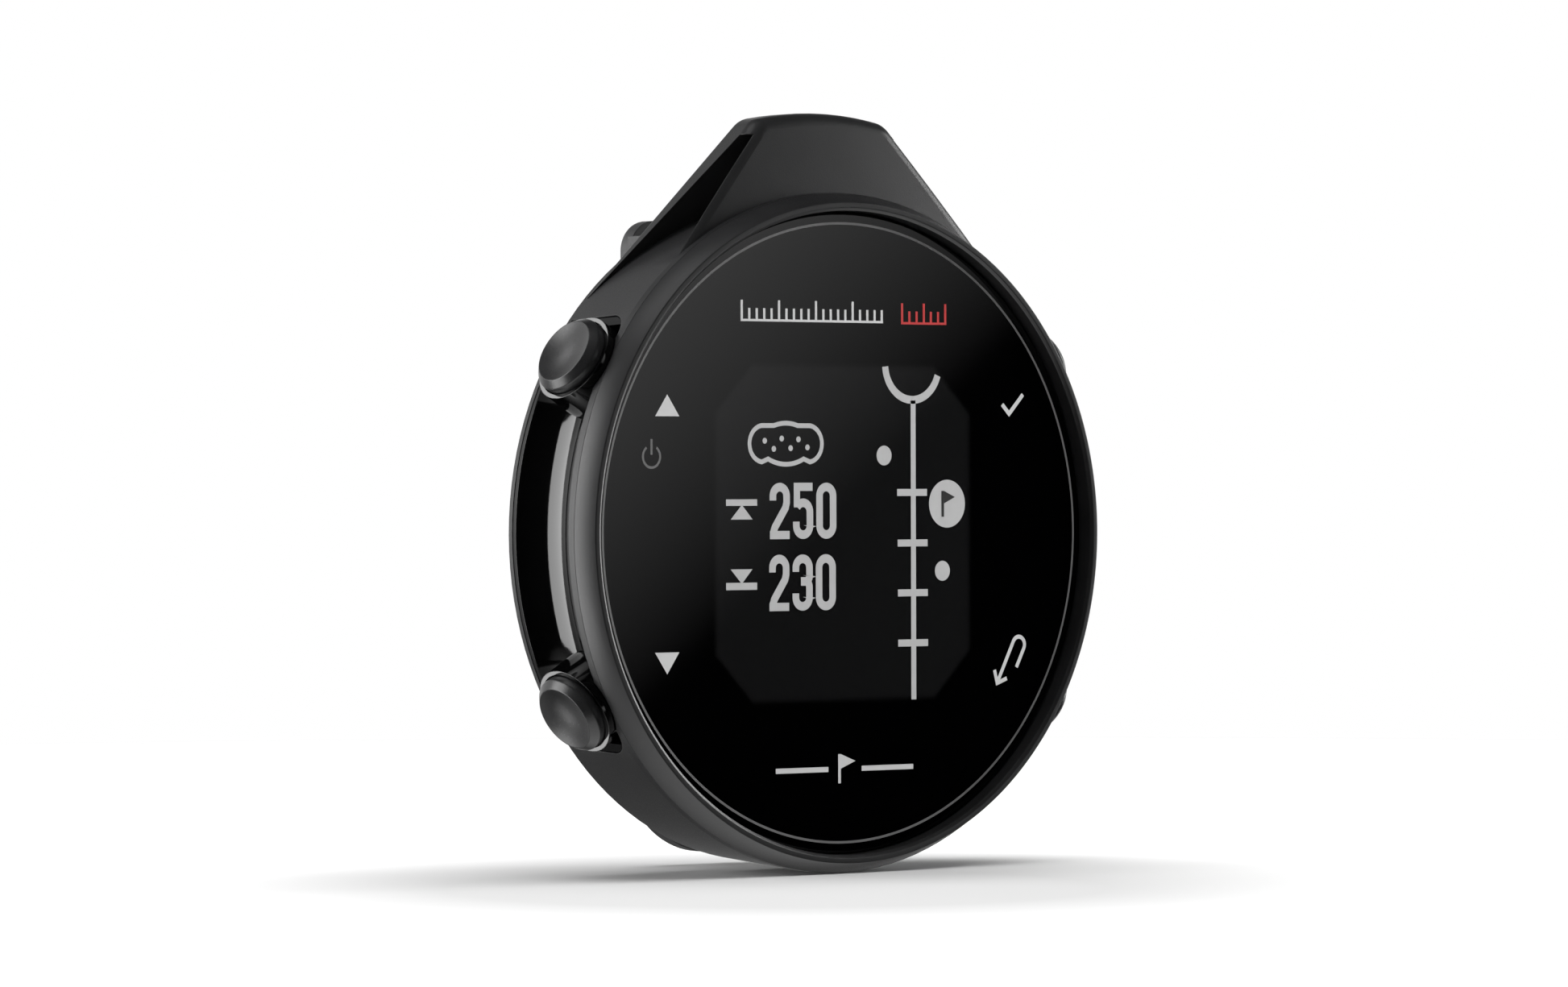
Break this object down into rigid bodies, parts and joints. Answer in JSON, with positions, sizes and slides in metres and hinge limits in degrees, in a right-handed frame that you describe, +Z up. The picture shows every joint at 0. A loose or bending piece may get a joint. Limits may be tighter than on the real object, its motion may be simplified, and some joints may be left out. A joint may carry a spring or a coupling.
{
  "type": "clip-on golf gps",
  "caption": "Round clip-on golf distance finder with a flat black lens, side buttons, a slotted lanyard lug and a sprung, removable belt clip.",
  "frame": {"origin": "centre of the bounding box, on its lowest plane, with the device upright", "axes": "+X to the right seen from the front, +Y from the lens towards the belt clip, +Z up towards the lanyard lug"},
  "size_m": [0.0466, 0.017, 0.0521],
  "materials": {
    "case": "fine spark-eroded black moulding",
    "bezel": "satin black moulding",
    "trim": "polished black moulding",
    "button": "satin dark grey, dished cap",
    "lens": "clear window printed black on its inner face round the display",
    "display": "dark reflective display, slightly lighter than the print round it",
    "light_guide": "white light guide",
    "inner_plastic": "plain moulding",
    "flex": "amber flexible circuit",
    "board": "green solder mask",
    "chip": "moulded package",
    "switch": "moulded switch body",
    "shield": "tinned sheet",
    "ceramic": "fired ceramic",
    "battery": "laminated pouch",
    "foam": "closed-cell foam tape",
    "rubber": "moulded elastomer",
    "steel": "plain stainless",
    "gold": "plated contact",
    "clip": "black glass-filled moulding"
  },
  "bodies": {
    "case": {"lens_glass": "lens", "lens_gasket": "foam", "bezel_ring": "bezel", "front_case": "case", "side_trim_left": "trim", "side_trim_right": "trim", "display_panel": "display", "backlight_panel": "light_guide", "inner_frame": "inner_plastic", "display_flex": "flex", "main_board": "board", "board_screws": "steel", "side_switches": "switch", "rf_shield": "shield", "board_chips": "chip", "gps_antenna": "ceramic", "battery": "battery", "battery_pad": "foam", "back_cover": "case", "back_cover_seal": "rubber", "back_screws": "steel", "charging_contacts": "gold", "contact_carrier": "inner_plastic"},
    "up_button": {"button_up": "button", "button_seal_up": "rubber", "button_ring_up": "steel", "switch_plunger_up": "switch"},
    "down_button": {"button_down": "button", "button_seal_down": "rubber", "button_ring_down": "steel", "switch_plunger_down": "switch"},
    "ok_button": {"button_ok": "button", "button_seal_ok": "rubber", "button_ring_ok": "steel", "switch_plunger_ok": "switch"},
    "back_button": {"button_back": "button", "button_seal_back": "rubber", "button_ring_back": "steel", "switch_plunger_back": "switch"},
    "clip": {"clip_base": "clip", "clip_pad": "rubber", "clip_spring": "steel"},
    "jaw": {"clip_jaw": "clip", "clip_pin": "steel"}
  },
  "joints": [
    {"name": "up_press", "type": "slide", "parent": "case", "child": "up_button", "axis": [0.8678, 0, -0.497], "range_m": [0, 0.0004], "stiffness_N_per_m": 4000, "springref_m": -0.0001},
    {"name": "down_press", "type": "slide", "parent": "case", "child": "down_button", "axis": [0.8678, 0, 0.497], "range_m": [0, 0.0004], "stiffness_N_per_m": 4000, "springref_m": -0.0001},
    {"name": "ok_press", "type": "slide", "parent": "case", "child": "ok_button", "axis": [-0.8678, 0, -0.497], "range_m": [0, 0.0004], "stiffness_N_per_m": 4000, "springref_m": -0.0001},
    {"name": "back_press", "type": "slide", "parent": "case", "child": "back_button", "axis": [-0.8678, 0, 0.497], "range_m": [0, 0.0004], "stiffness_N_per_m": 4000, "springref_m": -0.0001},
    {"name": "clip_release", "type": "slide", "parent": "case", "child": "clip", "axis": [0, 0, 1], "range_m": [0, 0.03]},
    {"name": "jaw_open", "type": "hinge", "parent": "clip", "child": "jaw", "pos_m": [0, 0.00562, 0.0425], "axis": [1, 0, 0], "range_deg": [0, 18], "stiffness_Nm_per_rad": 0.05, "springref_deg": -22.92}
  ]
}
